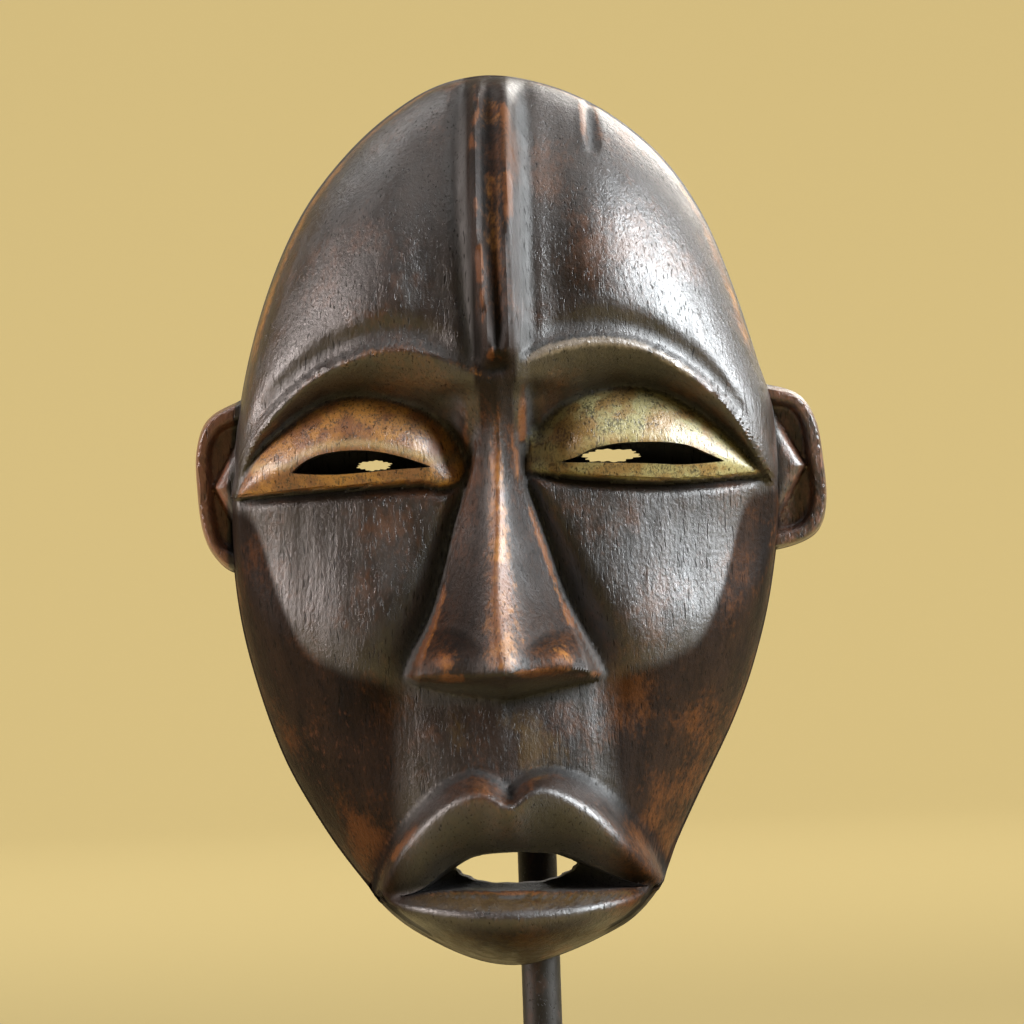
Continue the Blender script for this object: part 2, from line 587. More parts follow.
# ------------------------------------------------------------------ the mask
@dataclass
class Hollow:
    """The dished-out back, a little deeper than the CAD one, with gouge marks in it."""

    inset: float = 8.2
    depth: Curve = field(default_factory=lambda: Curve(
        (8.2, 0), (9.3, 4.5), (10.6, 9.2), (13, 14.4), (16.4, 19.4), (21, 23.8), (27, 27.6), (35, 30.2),
        (45, 31.7), (70, 33), (125, 33.5)))
    gouge: Unevenness = field(default_factory=lambda: Unevenness(11, (6.5, 9)))

    def cutter(self, spot: MaskFrame, outline: ClosedLine) -> bpy.types.Object:
        """The shape of the hollow, to be carved out of the block.

        Args:
            spot: The mask's place.
            outline: The mask's outline.

        Returns:
            A closed shape that reaches out behind the back plane.
        """
        turns = np.linspace(-math.pi, math.pi, RING_STEPS, endpoint=False)
        u, v = outline.at(turns, np.ones(RING_STEPS), self.inset)
        line = ClosedLine(list(zip(u, v)), tuple(outline.centre), 6)

        def height(u: Array, v: Array, angle: Array, share: Array) -> Array:
            """The hollow's depth by the distance from the mask's outline."""
            wall = outline.reach(angle) - line.reach(angle) * share
            marks = 0.45 * np.abs(self.gouge(u, v)) * blend(8.6, 16, wall)
            return self.depth(wall) + marks

        return carved_block("hollow", spot, line, (96, 150), height, [(-2.0, 0.0)])


@dataclass
class Ear:
    """A flat C-shaped ear with a sunk middle and a wedge in front of the ear hole."""

    name: str
    outline: ClosedLine
    recess: ClosedLine
    wedge: tuple[Point, Point, Point]
    rim: float = 20.0
    floor: float = 16.0
    back: float = 6.2

    def inside_wedge(self, u: Array, v: Array) -> Array:
        """How far a point is inside the wedge's three sides, in millimetres."""
        corners = np.array(self.wedge)
        turned = np.roll(corners, -1, 0)
        span = turned - corners
        sign = np.sign(span[0, 0] * span[1, 1] - span[0, 1] * span[1, 0])
        normal = np.stack([-span[:, 1], span[:, 0]], 1) * sign / np.hypot(*span.T)[:, None]
        reach = [(u - c[0]) * n[0] + (v - c[1]) * n[1] for c, n in zip(corners, normal)]
        return np.minimum(np.minimum(reach[0], reach[1]), reach[2])

    def height(self, u: Array, v: Array, angle: Array, share: Array) -> Array:
        """The ear's front: a worn rim, the sunk middle, and the wedge."""
        away = np.arctan2(v - self.recess.centre[1], u - self.recess.centre[0])
        out = np.hypot(u - self.recess.centre[0], v - self.recess.centre[1]) - self.recess.reach(away)
        front = self.floor + (self.rim - self.floor) * blend(-1.5, 0.5, out)
        ridge = self.inside_wedge(u, v)
        front = np.maximum(front, self.floor - 2.5 + (self.rim + 3.2 - self.floor) * blend(-0.4, 2.2, ridge)
                           + 0.35 * np.clip(ridge, 0, 4))
        return front - (front - self.back - 3) * np.clip((share - 0.93) / 0.07, 0, 1) ** 2.6

    def block(self, spot: MaskFrame) -> bpy.types.Object:
        """The ear as a closed block, sunk into the mask's side."""
        return carved_block(self.name, spot, self.outline, (48, 84), self.height,
                            [(self.back + 0.8, 0.0), (self.back, 0.8)])


LEFT_EAR = Ear(
    "left_ear",
    ClosedLine([(-62, 163), (-73, 160), (-81, 155.4), (-84.3, 147), (-84.5, 136), (-83.3, 124.4),
                (-80, 116.8), (-74, 112), (-62, 110), (-60, 136)], (-70, 137)),
    ClosedLine([(-60, 156), (-74.5, 154.4), (-80.2, 149), (-81.2, 140), (-80.4, 128), (-76.8, 119),
                (-60, 116), (-56, 137)], (-68, 137)),
    ((-69, 157.5), (-80.6, 136.5), (-69, 113)))
RIGHT_EAR = Ear(
    "right_ear",
    ClosedLine([(66, 161), (77, 160), (85.4, 156.8), (89.8, 149.4), (91.4, 139), (92, 128.5), (90.6, 121),
                (86.8, 116.6), (78, 113.8), (66, 113), (62, 137)], (78, 137)),
    ClosedLine([(66, 155), (80, 155), (85.2, 151), (87.4, 141), (88.2, 128), (84.8, 120.4), (76, 118),
                (66, 118), (62, 137)], (76, 137)),
    ((75, 157.5), (87.2, 137.2), (75, 115.5)))


@dataclass
class FaceOpenings:
    """The eye slits, the mouth, and the small holes that they narrow to."""

    relief: FaceRelief
    slit_holes: tuple[Oval, Oval] = ((-34.3, 141.0, 4.6, 1.35), (31.6, 141.6, 7.8, 1.75))
    mouth_ends: Point = (-33.0, 40.0)
    mouth_throat: Oval = (1.5, 28.3, 17, 4.9)
    mouth_hole: Oval = (1.5, 28.3, 16.2, 4.9)
    turns: Array = field(
        default_factory=lambda: np.linspace(0, 2 * math.pi, RING_STEPS, endpoint=False))

    def lens(self, top: Curve, foot: Curve, ends: Point, scale: float) -> tuple[Array, Array]:
        """A ring between two edges, drawn in to a share of its size."""
        middle, half = sum(ends) / 2, (ends[1] - ends[0]) / 2
        u = middle + half * np.cos(self.turns)
        upper, lower = np.maximum(top(u), foot(u) + 0.15), foot(u)
        v = np.where(np.sin(self.turns) >= 0, upper, lower)
        centre_v = float((top(middle) + foot(middle)) / 2)
        return middle + (u - middle) * scale, centre_v + (v - centre_v) * scale

    def oval(self, hole: Oval, ragged: float) -> tuple[Array, Array]:
        """A slightly ragged oval (u, v, half width, half height)."""
        wobble = 1 + ragged * np.sin(self.turns * 5 + hole[0]) * np.cos(self.turns * 11)
        return (hole[0] + hole[2] * np.cos(self.turns) * wobble,
                hole[1] + hole[3] * np.sin(self.turns) * wobble)

    def ring(self, spot: MaskFrame, line: tuple[Array, Array], height: float) -> Array:
        """A ring of points at a height."""
        return spot.place(line[0], line[1], height)

    def cutters(self, spot: MaskFrame) -> list[bpy.types.Object]:
        """All shapes to be carved out of the front.

        Args:
            spot: The mask's place.

        Returns:
            The two slits, their two holes, and the mouth.
        """
        made = []
        for eye, hole in zip(self.relief.eyes, self.slit_holes):
            ends = eye.slit_top.ends
            lens = [(self.lens(eye.slit_top, eye.slit_foot, ends, scale), height)
                    for height, scale in ((90, 1.0), (44, 0.97), (35.8, 0.9))]
            made.append(lofted("slit", [self.ring(spot, line, height) for line, height in lens]))
            drill = [self.ring(spot, self.oval(hole, ragged), height)
                     for height, ragged in ((40, 0.2), (34, 0.16), (20, 0.06))]
            made.append(lofted("slit_hole", drill))
        mouth, narrowed = (self.lens(self.relief.mouth_top, self.relief.mouth_foot, self.mouth_ends, scale)
                           for scale in (1.0, 0.9))
        funnel = [(mouth, 90.0), (mouth, 50.0), (narrowed, 41.0), (self.oval(self.mouth_throat, 0.03), 37.0),
                  (self.oval(self.mouth_hole, 0.05), 30.0), (self.oval(self.mouth_hole, 0.02), -4.0)]
        made.append(lofted("mouth", [self.ring(spot, line, height) for line, height in funnel]))
        return made


@dataclass
class Colouring:
    """Where old paint, stain, wear and dirt lie on the mask."""

    relief: FaceRelief
    patches: Unevenness = field(default_factory=lambda: Unevenness(21, (7, 7)))
    flecks: Unevenness = field(default_factory=lambda: Unevenness(22, (1.3, 2.2)))

    def relative(self, u: Array, v: Array, radius: float) -> Array:
        """How far the surface stands above its surroundings at a radius."""
        around = [self.relief.raw(u + radius * math.cos(a), v + radius * math.sin(a))
                  for a in np.arange(8) * math.pi / 4]
        return self.relief.height(u, v) - np.mean(around, 0)

    def lid(self, eye: Eye, u: Array, v: Array) -> Array:
        """1 on a lid and fading over its edges."""
        first, last = eye.lid_top.ends
        inside = np.minimum(eye.lid_top(u) - v, v - eye.lid_foot(u))
        along = np.minimum(u - first, last - u)
        return blend(-0.4, 0.8, np.minimum(inside, along))

    def fields(self, u: Array, v: Array, height: Array) -> dict[str, Array]:
        """All the fields that the wood's finish reads, by name.

        Args:
            u: Across, in millimetres.
            v: Up, in millimetres.
            height: Over the back plane, in millimetres.

        Returns:
            One array of 0 to 1 for each field.
        """
        relief = self.relief
        patch, fleck = self.patches(u, v), self.flecks(u, v)
        fine, broad = self.relative(u, v, 1.5), self.relative(u, v, 5.0)
        front = blend(3.0, 1.0, np.abs(height - relief.height(u, v)))
        over = v - relief.brow(u)
        crest = np.exp(-(((over + 1.2) / 1.7) ** 2))
        nose_in = blend(0, 1, np.minimum(u - relief.nose_left(v), relief.nose_right(v) - u))
        lobes = np.exp(-((np.abs(u + 0.2) - 16) / 4.5) ** 2 - ((v - 86.5) / 3.5) ** 2)
        under_nose = blend(0.5, -0.5, v - 81.9) * blend(73.5, 75, v) * blend(24, 22, np.abs(u))
        mouth_in = (blend(0, 3, np.minimum(relief.lip_crest(u) - v, v - relief.mouth_foot(u)))
                    * blend(40, 34, np.abs(u - 2)))
        rims = [eye.slit_top(u) + 1.9 for eye in relief.eyes]
        glow = [bump(v, rim, 1.2) * blend(-side * 4, side * 26, u) * lid for rim, side, lid in zip(
            rims, (-1, 1), (self.lid(relief.eyes[0], u, v), self.lid(relief.eyes[1], u, v)))]
        ridge = np.exp(-(((u + 0.4) / (1.6 + 0.06 * np.clip(150 - v, 0, 70))) ** 2)) * nose_in
        ridge = ridge * blend(80, 86, v) * blend(160, 140, v)
        arris = (bump(u, relief.nose_left(v) + 0.8, 0.9) + bump(u, relief.nose_right(v) - 0.8, 0.9))
        arris = arris * blend(84, 92, v) * blend(150, 138, v)
        along_lip = blend(-37, -24, u) * blend(42, 30, u)
        ledge = (blend(-0.3, 0.6, relief.mouth_foot(u) - v)
                 * blend(-1, 1, v - relief.lower_lip(u)) * along_lip)
        lower_lip = bump(v, relief.lower_lip(u) - 2.5, 3.5) * along_lip
        muzzle = np.exp(-((u - 2) / 27) ** 4 - ((v - 62) / 12) ** 4)
        chin = blend(15, 9, v) * blend(46, 30, np.abs(u - 2))
        inwards = np.minimum(u - relief.left(v), relief.right(v) - u)
        ears = blend(-0.4, -1.6, inwards) * np.where(u < 0, 1.0, 0.6)
        jaw = blend(1, -5, v - relief.cheek_foot(np.abs(u))) * blend(24, 34, np.abs(u))
        matt = 0.9 * nose_in * blend(78, 84, v) * (1 - 0.7 * ridge) + jaw + 0.7 * muzzle + 0.8 * chin
        rimmed = 0.25 + 0.75 * blend(1.5, 5, np.minimum(inwards, 250 - v))
        return {
            "wear": (front * rimmed * (1 - 0.8 * crest) * np.clip(fine / 0.6, 0, 1)
                     * blend(-0.5, 0.7, patch + 0.4 * fleck)),
            "dirt": front * np.clip(-fine / 0.4 - broad / 6 + under_nose + 0.8 * mouth_in, 0, 1),
            "glow": front * np.clip(glow[0] + glow[1], 0, 1),
            "ochre": front * self.lid(relief.eyes[0], u, v),
            "cream": front * self.lid(relief.eyes[1], u, v),
            "gold": front * np.clip(0.72 * ridge + 0.6 * lobes + 0.4 * arris * blend(-0.8, 0.3, patch)
                                    + 0.4 * lower_lip * blend(-0.6, 0.9, patch)
                                    + 0.5 * bump(u, 1.5, 3.5) * blend(166, 172, v) * blend(-0.6, 0.5, patch)
                                    + 0.35 * crest * blend(4, -4, u) * blend(-66, -50, u)
                                    + 0.5 * bump(inwards, 1.6, 1.3) * blend(165, 175, v), 0, 1),
            "pale": front * np.clip(crest * blend(3, 9, u) * blend(66, 52, u)
                                    * blend(-1.1, -0.2, patch), 0, 1),
            "matt": front * np.clip(matt, 0, 1),
            "red": np.clip(ears * 0.6 + front * 0.2 * blend(34, 4, np.hypot(v - 66, u + 50)), 0, 1),
            "stain": front * np.clip(0.6 * muzzle * blend(-0.6, 0.7, patch)
                                     + 0.5 * chin + 0.6 * ledge, 0, 1),
            "recess": (1 - front) * blend(33.5, 35.5, height) * blend(-66, -64, u) * blend(68, 66, u),
            "inside": (1 - front) * blend(-66, -64, u) * blend(68, 66, u) * blend(37, 33, height),
        }


@dataclass
class CarvedMask:
    """The whole mask: one carved block, its ears, hollow and openings."""

    relief: FaceRelief = field(default_factory=FaceRelief)
    hollow: Hollow = field(default_factory=Hollow)
    ears: tuple[Ear, Ear] = (LEFT_EAR, RIGHT_EAR)
    faces_across: int = 226
    faces_up: int = 340

    def front(self, u: Array, v: Array, angle: Array, share: Array) -> Array:
        """The relief, brought down to the rim's level at its outline."""
        del angle
        relief = np.maximum(self.relief.height(u, v), self.relief.rim)
        return np.where(share > ON_OUTLINE, self.relief.rim, relief)

    def build(self, finish: "CarvedWood") -> bpy.types.Object:
        """Carves the mask and hangs it on its body.

        Args:
            finish: The wood's finish.

        Returns:
            The mask's one piece.
        """
        spot = MaskFrame.from_cad()
        mask = carved_block("mask_block", spot, self.relief.outline, (self.faces_across, self.faces_up),
                            self.front, [(0.7, 0.0), (0.0, 0.7)])
        for ear in self.ears:
            carve(mask, ear.block(spot), Cut.JOINED)
        carve(mask, self.hollow.cutter(spot, self.relief.outline), Cut.AWAY)
        for tool in FaceOpenings(self.relief).cutters(spot):
            carve(mask, tool, Cut.AWAY)
        u, v, height = spot.read(vertex_places(mask))
        for name, values in Colouring(self.relief).fields(u, v, height).items():
            keep_field(mask, name, values)
        smooth(mask, 48)
        mask.data.materials.clear()
        mask.data.materials.append(finish.material("carved_mask"))
        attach(mask, "mask")
        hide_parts("carved_mask")
        return mask


# ------------------------------------------------------------------ shader building
def colour(red: int, green: int, blue: int) -> Rgb:
    """A linear colour from screen values of 0 to 255."""
    parts = [value / 255 for value in (red, green, blue)]
    return tuple(p / 12.92 if p < 0.04045 else ((p + 0.055) / 1.055) ** 2.4 for p in parts)


class Tree:
    """A node tree with short ways to add what the finishes use."""

    def __init__(self, tree: bpy.types.NodeTree) -> None:
        """Wraps a tree."""
        self.tree = tree

    def node(self, kind: str, **settings: object) -> bpy.types.Node:
        """Adds a node and sets its properties."""
        made = self.tree.nodes.new(kind)
        for key, value in settings.items():
            setattr(made, key, value)
        return made

    def feed(self, socket: bpy.types.NodeSocket, value: object) -> None:
        """Links an output to a socket, or sets the socket's own value."""
        if isinstance(value, bpy.types.NodeSocket):
            self.tree.links.new(value, socket)
        elif isinstance(value, tuple) and len(value) == 3 and len(socket.default_value) == 4:
            socket.default_value = (*value, 1)
        else:
            socket.default_value = value

    def field(self, name: str) -> bpy.types.NodeSocket:
        """One of the piece's own stored fields."""
        return self.node("ShaderNodeAttribute", attribute_name=name).outputs["Fac"]

    def object_space(self, stretch: tuple[float, float, float] = (1, 1, 1)) -> bpy.types.NodeSocket:
        """The row's coordinates in metres, scaled by axis."""
        coordinates = self.node("ShaderNodeTexCoord").outputs["Object"]
        mapping = self.node("ShaderNodeMapping")
        self.feed(mapping.inputs["Vector"], coordinates)
        mapping.inputs["Scale"].default_value = stretch
        return mapping.outputs["Vector"]

    def noise(self, space: bpy.types.NodeSocket, scale: float, detail: float = 3, rough: float = 0.55,
              twist: float = 0.0) -> bpy.types.NodeSocket:
        """Noise of 0 to 1 in a space."""
        made = self.node("ShaderNodeTexNoise")
        self.feed(made.inputs["Vector"], space)
        for name, value in (("Scale", scale), ("Detail", detail), ("Roughness", rough),
                            ("Distortion", twist)):
            made.inputs[name].default_value = value
        return made.outputs["Fac"]

    def spread(self, value: object, low: float, high: float, to_low: float = 0, to_high: float = 1
               ) -> bpy.types.NodeSocket:
        """A value's range mapped smoothly to another range."""
        made = self.node("ShaderNodeMapRange", interpolation_type="SMOOTHSTEP")
        for name, each in (("Value", value), ("From Min", low), ("From Max", high), ("To Min", to_low),
                           ("To Max", to_high)):
            self.feed(made.inputs[name], each)
        return made.outputs["Result"]

    def math(self, operation: str, a: object, b: object) -> bpy.types.NodeSocket:
        """Arithmetic on two values."""
        made = self.node("ShaderNodeMath", operation=operation)
        self.feed(made.inputs[0], a)
        self.feed(made.inputs[1], b)
        return made.outputs[0]

    def over(self, ink: object, name: str, strength: float, paint: object) -> bpy.types.NodeSocket:
        """A colour laid over another by one of the piece's stored fields."""
        return self.mix(self.math("MULTIPLY", self.field(name), strength), ink, paint)

    def mix(self, share: object, a: object, b: object) -> bpy.types.NodeSocket:
        """A colour between two, by a share."""
        made = self.node("ShaderNodeMix", data_type="RGBA")
        self.feed(made.inputs[0], share)
        self.feed(made.inputs[6], a)
        self.feed(made.inputs[7], b)
        return made.outputs[2]


def shared_group(name: str, inputs: Sequence[tuple[str, str, object]], outputs: Sequence[tuple[str, str]],
                 fill: Callable[[Tree, bpy.types.Node, bpy.types.Node], None]) -> bpy.types.NodeTree:
    """Makes a node group once, and returns the same one afterwards.

    Args:
        name: The group's name.
        inputs: Name, socket type and starting value of each input.
        outputs: Name and socket type of each output.
        fill: Adds the group's inner nodes.

    Returns:
        The group.
    """
    if name in bpy.data.node_groups:
        return bpy.data.node_groups[name]
    group = bpy.data.node_groups.new(name, "ShaderNodeTree")
    for label, kind, value in inputs:
        socket = group.interface.new_socket(label, in_out="INPUT", socket_type=kind)
        socket.default_value = value
    for label, kind in outputs:
        group.interface.new_socket(label, in_out="OUTPUT", socket_type=kind)
    inner = Tree(group)
    fill(inner, inner.node("NodeGroupInput"), inner.node("NodeGroupOutput"))
    return group


def grain_group() -> bpy.types.NodeTree:
    """Wood figure that runs up the block: its light and dark, its pores, and their relief."""

    def fill(tree: Tree, start: bpy.types.Node, end: bpy.types.Node) -> None:
        """Streaks from stretched noise; pores are its rare deep spots."""
        along = tree.object_space((1, 1, 0.09))
        streaks = tree.noise(along, 520, 5, 0.6, 0.4)
        broad = tree.noise(tree.object_space((1, 1, 0.35)), 60, 4, 0.55, 0.6)
        pores = tree.spread(tree.noise(tree.object_space((1, 1, 0.1)), 1700, 2, 0.5), 0.4, 0.3)
        figure = tree.math("ADD", tree.math("MULTIPLY", streaks, 0.4), tree.math("MULTIPLY", broad, 0.6))
        tree.feed(end.inputs["Figure"], tree.spread(figure, 0.3, 0.7))
        tree.feed(end.inputs["Pores"], tree.math("MULTIPLY", pores, start.outputs["Pore depth"]))
        sunk = tree.math("MULTIPLY", pores, -0.2)
        tree.feed(end.inputs["Relief"], tree.math("ADD", tree.math("MULTIPLY", streaks, 0.55), sunk))

    return shared_group("wood_grain", [("Pore depth", "NodeSocketFloat", 0.7)],
                        [("Figure", "NodeSocketFloat"), ("Pores", "NodeSocketFloat"),
                         ("Relief", "NodeSocketFloat")], fill)


def wear_group() -> bpy.types.NodeTree:
    """Rubbed and chipped places: a field broken up by small flakes and scratches."""

    def fill(tree: Tree, start: bpy.types.Node, end: bpy.types.Node) -> None:
        """Adds flake noise to the field and takes what stands over one half."""
        flakes = tree.noise(tree.object_space((1, 1, 0.5)), 900, 4, 0.65)
        patches = tree.noise(tree.object_space(), 160, 2)
        broken = tree.math("ADD", tree.math("MULTIPLY", flakes, 0.9), tree.math("MULTIPLY", patches, 0.5))
        summed = tree.math("ADD", start.outputs["Field"], tree.math("SUBTRACT", broken, 0.72))
        soft = tree.math("MULTIPLY", tree.spread(summed, 0.2, 0.72), start.outputs["Strength"])
        tree.feed(end.inputs["Mask"], soft)

    return shared_group("worn_places", [("Field", "NodeSocketFloat", 0.0),
                                        ("Strength", "NodeSocketFloat", 1.0)],
                        [("Mask", "NodeSocketFloat")], fill)


def speck_group() -> bpy.types.NodeTree:
    """Small dark specks, as dirt held in old paint."""

    def fill(tree: Tree, start: bpy.types.Node, end: bpy.types.Node) -> None:
        """Thresholds fine noise, thinned out by broad noise."""
        fine = tree.noise(tree.object_space((1, 1, 0.8)), 1500, 2, 0.6)
        broad = tree.noise(tree.object_space(), 210, 2)
        summed = tree.math("ADD", fine, tree.math("MULTIPLY", broad, 0.5))
        specks = tree.spread(summed, 0.76, 0.58)
        tree.feed(end.inputs["Mask"], tree.math("MULTIPLY", specks, start.outputs["Strength"]))

    return shared_group("dirt_specks", [("Strength", "NodeSocketFloat", 1.0)],
                        [("Mask", "NodeSocketFloat")], fill)


def group_in(tree: Tree, group: bpy.types.NodeTree, **inputs: object) -> bpy.types.Node:
    """Adds a shared group to a tree and feeds its inputs, underscores for spaces."""
    node = tree.node("ShaderNodeGroup", node_tree=group)
    for name, value in inputs.items():
        tree.feed(node.inputs[name.replace("_", " ").capitalize()], value)
    return node


def worn(tree: Tree, name: str, strength: float) -> bpy.types.NodeSocket:
    """A stored field as a mask of rubbed and chipped places."""
    return group_in(tree, wear_group(), field=tree.field(name), strength=strength).outputs["Mask"]


def new_material(name: str) -> tuple[bpy.types.Material, Tree, bpy.types.Node]:
    """A material, its tree and its main shader."""
    material = bpy.data.materials.new(name)
    material.use_nodes = True
    tree = Tree(material.node_tree)
    return material, tree, material.node_tree.nodes["Principled BSDF"]


def bump_into(tree: Tree, shader: bpy.types.Node, height: object, distance: float,
              strength: float = 1.0) -> None:
    """Feeds a height to a shader's normal."""
    made = tree.node("ShaderNodeBump")
    made.inputs["Distance"].default_value = distance
    made.inputs["Strength"].default_value = strength
    tree.feed(made.inputs["Height"], height)
    tree.feed(shader.inputs["Normal"], made.outputs["Normal"])


# ------------------------------------------------------------------ finishes
@dataclass(frozen=True)
class CarvedWood:
    """Dark polished wood with rubbed edges, painted lids, reddish ears and old dirt."""

    dark: Rgb = colour(19, 14, 12)
    mid: Rgb = colour(40, 28, 21)
    warm: Rgb = colour(84, 50, 25)
    rubbed: Rgb = colour(104, 62, 31)
    gold: Rgb = colour(146, 96, 42)
    ochre: Rgb = colour(164, 114, 46)
    ochre_deep: Rgb = colour(120, 74, 34)
    cream: Rgb = colour(150, 142, 98)
    cream_deep: Rgb = colour(134, 106, 58)
    lustre: Rgb = colour(172, 156, 112)
    pale: Rgb = colour(112, 99, 84)
    red: Rgb = colour(126, 82, 60)
    stain: Rgb = colour(74, 56, 24)
    dirt: Rgb = colour(10, 8, 6)
    raw: Rgb = colour(66, 48, 35)

    def material(self, name: str) -> bpy.types.Material:
        """The wood's material, with the piece's stored fields as masks.

        Args:
            name: The material's name.

        Returns:
            The material.
        """
        material, tree, shader = new_material(name)
        grain = group_in(tree, grain_group(), pore_depth=0.7)
        figure, pores = grain.outputs["Figure"], grain.outputs["Pores"]
        patches = tree.spread(tree.noise(tree.object_space(), 110, 5, 0.6), 0.42, 0.58)
        specks = group_in(tree, speck_group(), strength=0.7).outputs["Mask"]
        ink = tree.mix(figure, self.dark, self.mid)
        thin = tree.math("ADD", tree.noise(tree.object_space(), 38, 3), tree.math(
            "MULTIPLY", tree.noise(tree.object_space((1, 1, 0.6)), 700, 4, 0.7), 0.5))
        ink = tree.mix(tree.spread(thin, 0.74, 1.0, 0.0, 0.7), ink, self.warm)
        ink = tree.over(ink, "inside", 0.85, tree.mix(figure, self.dark, self.raw))
        ochre = tree.mix(specks, tree.mix(patches, self.ochre_deep, self.ochre), self.dirt)
        cream = tree.mix(specks, tree.mix(patches, self.cream_deep, self.cream), self.dirt)
        for stored, strength, paint in (("red", 0.75, self.red), ("stain", 0.6, self.stain),
                                       ("wear", 0.6, self.rubbed),
                                       ("gold", 0.85, tree.mix(patches, self.rubbed, self.gold))):
            ink = tree.mix(worn(tree, stored, strength), ink, paint)
        for stored, strength, paint in (("ochre", 0.9, ochre), ("cream", 0.92, cream),
                                       ("glow", 0.45, self.lustre)):
            ink = tree.over(ink, stored, strength, paint)
        ink = tree.mix(worn(tree, "pale", 0.9), ink, self.pale)
        ink = tree.mix(pores, ink, self.dirt)
        ink = tree.over(ink, "dirt", 0.8, self.dirt)
        ink = tree.mix(tree.field("recess"), ink, self.dirt)
        tree.feed(shader.inputs["Base Color"], ink)
        gloss = tree.spread(tree.noise(tree.object_space((1, 1, 0.4)), 240, 4), 0.3, 0.7, 0.31, 0.45)
        gloss = tree.math("ADD", gloss, tree.math("MULTIPLY", pores, 0.1))
        dull = tree.math("MAXIMUM", tree.math("MAXIMUM", tree.field("recess"), tree.field("inside")),
                         tree.math("MULTIPLY", tree.field("dirt"), 0.8))
        rough = tree.math("ADD", tree.math("MULTIPLY", dull, 0.4),
                          tree.math("MULTIPLY", tree.field("matt"), 0.12))
        tree.feed(shader.inputs["Roughness"], tree.math("ADD", gloss, rough))
        shine = tree.math("SUBTRACT", 0.95, tree.math("MULTIPLY", tree.math(
            "MAXIMUM", tree.field("matt"), pores), 0.88))
        tree.feed(shader.inputs["Specular IOR Level"], shine)
        skin = tree.math("ADD", grain.outputs["Relief"], tree.math(
            "MULTIPLY", tree.noise(tree.object_space((1, 1, 0.7)), 820, 6, 0.68), 0.9))
        bump_into(tree, shader, skin, 0.0003, 0.9)
        return material


@dataclass(frozen=True)
class PatinatedSteel:
    """Steel with a dark skin, fine pits and, where wanted, rust."""

    skin: Rgb
    rust: Rgb = colour(92, 54, 30)
    rusting: float = 0.5
    roughness: tuple[float, float] = (0.32, 0.55)
    metal: float = 0.75

    def material(self, name: str) -> bpy.types.Material:
        """The steel's material."""
        material, tree, shader = new_material(name)
        blotches = tree.noise(tree.object_space((1, 1, 0.6)), 190, 5, 0.65)
        rust = tree.math("MULTIPLY", tree.spread(blotches, 0.55, 0.72), self.rusting)
        pits = tree.spread(tree.noise(tree.object_space(), 1400, 3), 0.4, 0.28)
        shade = tree.mix(tree.spread(blotches, 0.3, 0.6), tuple(c * 0.6 for c in self.skin), self.skin)
        tree.feed(shader.inputs["Base Color"], tree.mix(rust, shade, self.rust))
        shader.inputs["Metallic"].default_value = self.metal
        tree.feed(shader.inputs["Roughness"], tree.spread(blotches, 0.3, 0.7, *self.roughness))
        bump_into(tree, shader, tree.math("MULTIPLY", pits, -1.0), 0.00012)
        return material


@dataclass(frozen=True)
class BrightSteel:
    """Plated steel, faintly brushed."""

    skin: Rgb
    roughness: tuple[float, float] = (0.25, 0.4)

    def material(self, name: str) -> bpy.types.Material:
        """The plated steel's material."""
        material, tree, shader = new_material(name)
        brushing = tree.noise(tree.object_space((1, 1, 12)), 500, 3)
        haze = tree.noise(tree.object_space(), 260, 3)
        tree.feed(shader.inputs["Base Color"], tree.mix(tree.spread(haze, 0.3, 0.7), self.skin,
                                                        tuple(c * 0.72 for c in self.skin)))
        shader.inputs["Metallic"].default_value = 1.0
        tree.feed(shader.inputs["Roughness"], tree.spread(brushing, 0.3, 0.7, *self.roughness))
        bump_into(tree, shader, brushing, 0.00002)
        return material


@dataclass(frozen=True)
class Rubber:
    """Soft black rubber, a little dusty."""

    black: Rgb = colour(34, 32, 31)
    dust: Rgb = colour(76, 72, 66)

    def material(self, name: str) -> bpy.types.Material:
        """The rubber's material."""
        material, tree, shader = new_material(name)
        haze = tree.spread(tree.noise(tree.object_space(), 300, 4), 0.45, 0.8)
        dusty = tree.mix(tree.math("MULTIPLY", haze, 0.5), self.black, self.dust)
        tree.feed(shader.inputs["Base Color"], dusty)
        shader.inputs["Roughness"].default_value = 0.72
        bump_into(tree, shader, tree.noise(tree.object_space(), 2500, 2), 0.00004)
        return material


@dataclass(frozen=True)
class EbonisedWood:
    """Black stained hardwood with open grain across the base."""

    black: Rgb = colour(24, 19, 16)
    brown: Rgb = colour(52, 39, 31)

    def material(self, name: str) -> bpy.types.Material:
        """The base's material."""
        material, tree, shader = new_material(name)
        along = tree.object_space((0.07, 1, 1))
        streaks = tree.noise(along, 420, 5, 0.6, 0.3)
        pores = tree.spread(tree.noise(along, 1500, 2), 0.42, 0.3)
        stained = tree.mix(tree.spread(streaks, 0.35, 0.7), self.black, self.brown)
        tree.feed(shader.inputs["Base Color"], stained)
        tree.feed(shader.inputs["Roughness"], tree.spread(streaks, 0.3, 0.7, 0.34, 0.46))
        bump_into(tree, shader, tree.math("MULTIPLY", pores, -1.0), 0.00015)
        return material


@dataclass(frozen=True)
class Felt:
    """Dense dark wool felt."""

    wool: Rgb = colour(44, 46, 42)
    fleck: Rgb = colour(74, 76, 68)

    def material(self, name: str) -> bpy.types.Material:
        """The felt's material."""
        material, tree, shader = new_material(name)
        fibres = tree.noise(tree.object_space(), 1800, 5, 0.7, 1.5)
        tree.feed(shader.inputs["Base Color"], tree.mix(tree.spread(fibres, 0.4, 0.7), self.wool, self.fleck))
        shader.inputs["Roughness"].default_value = 0.95
        shader.inputs["Sheen Weight"].default_value = 0.3
        bump_into(tree, shader, fibres, 0.0003)
        return material


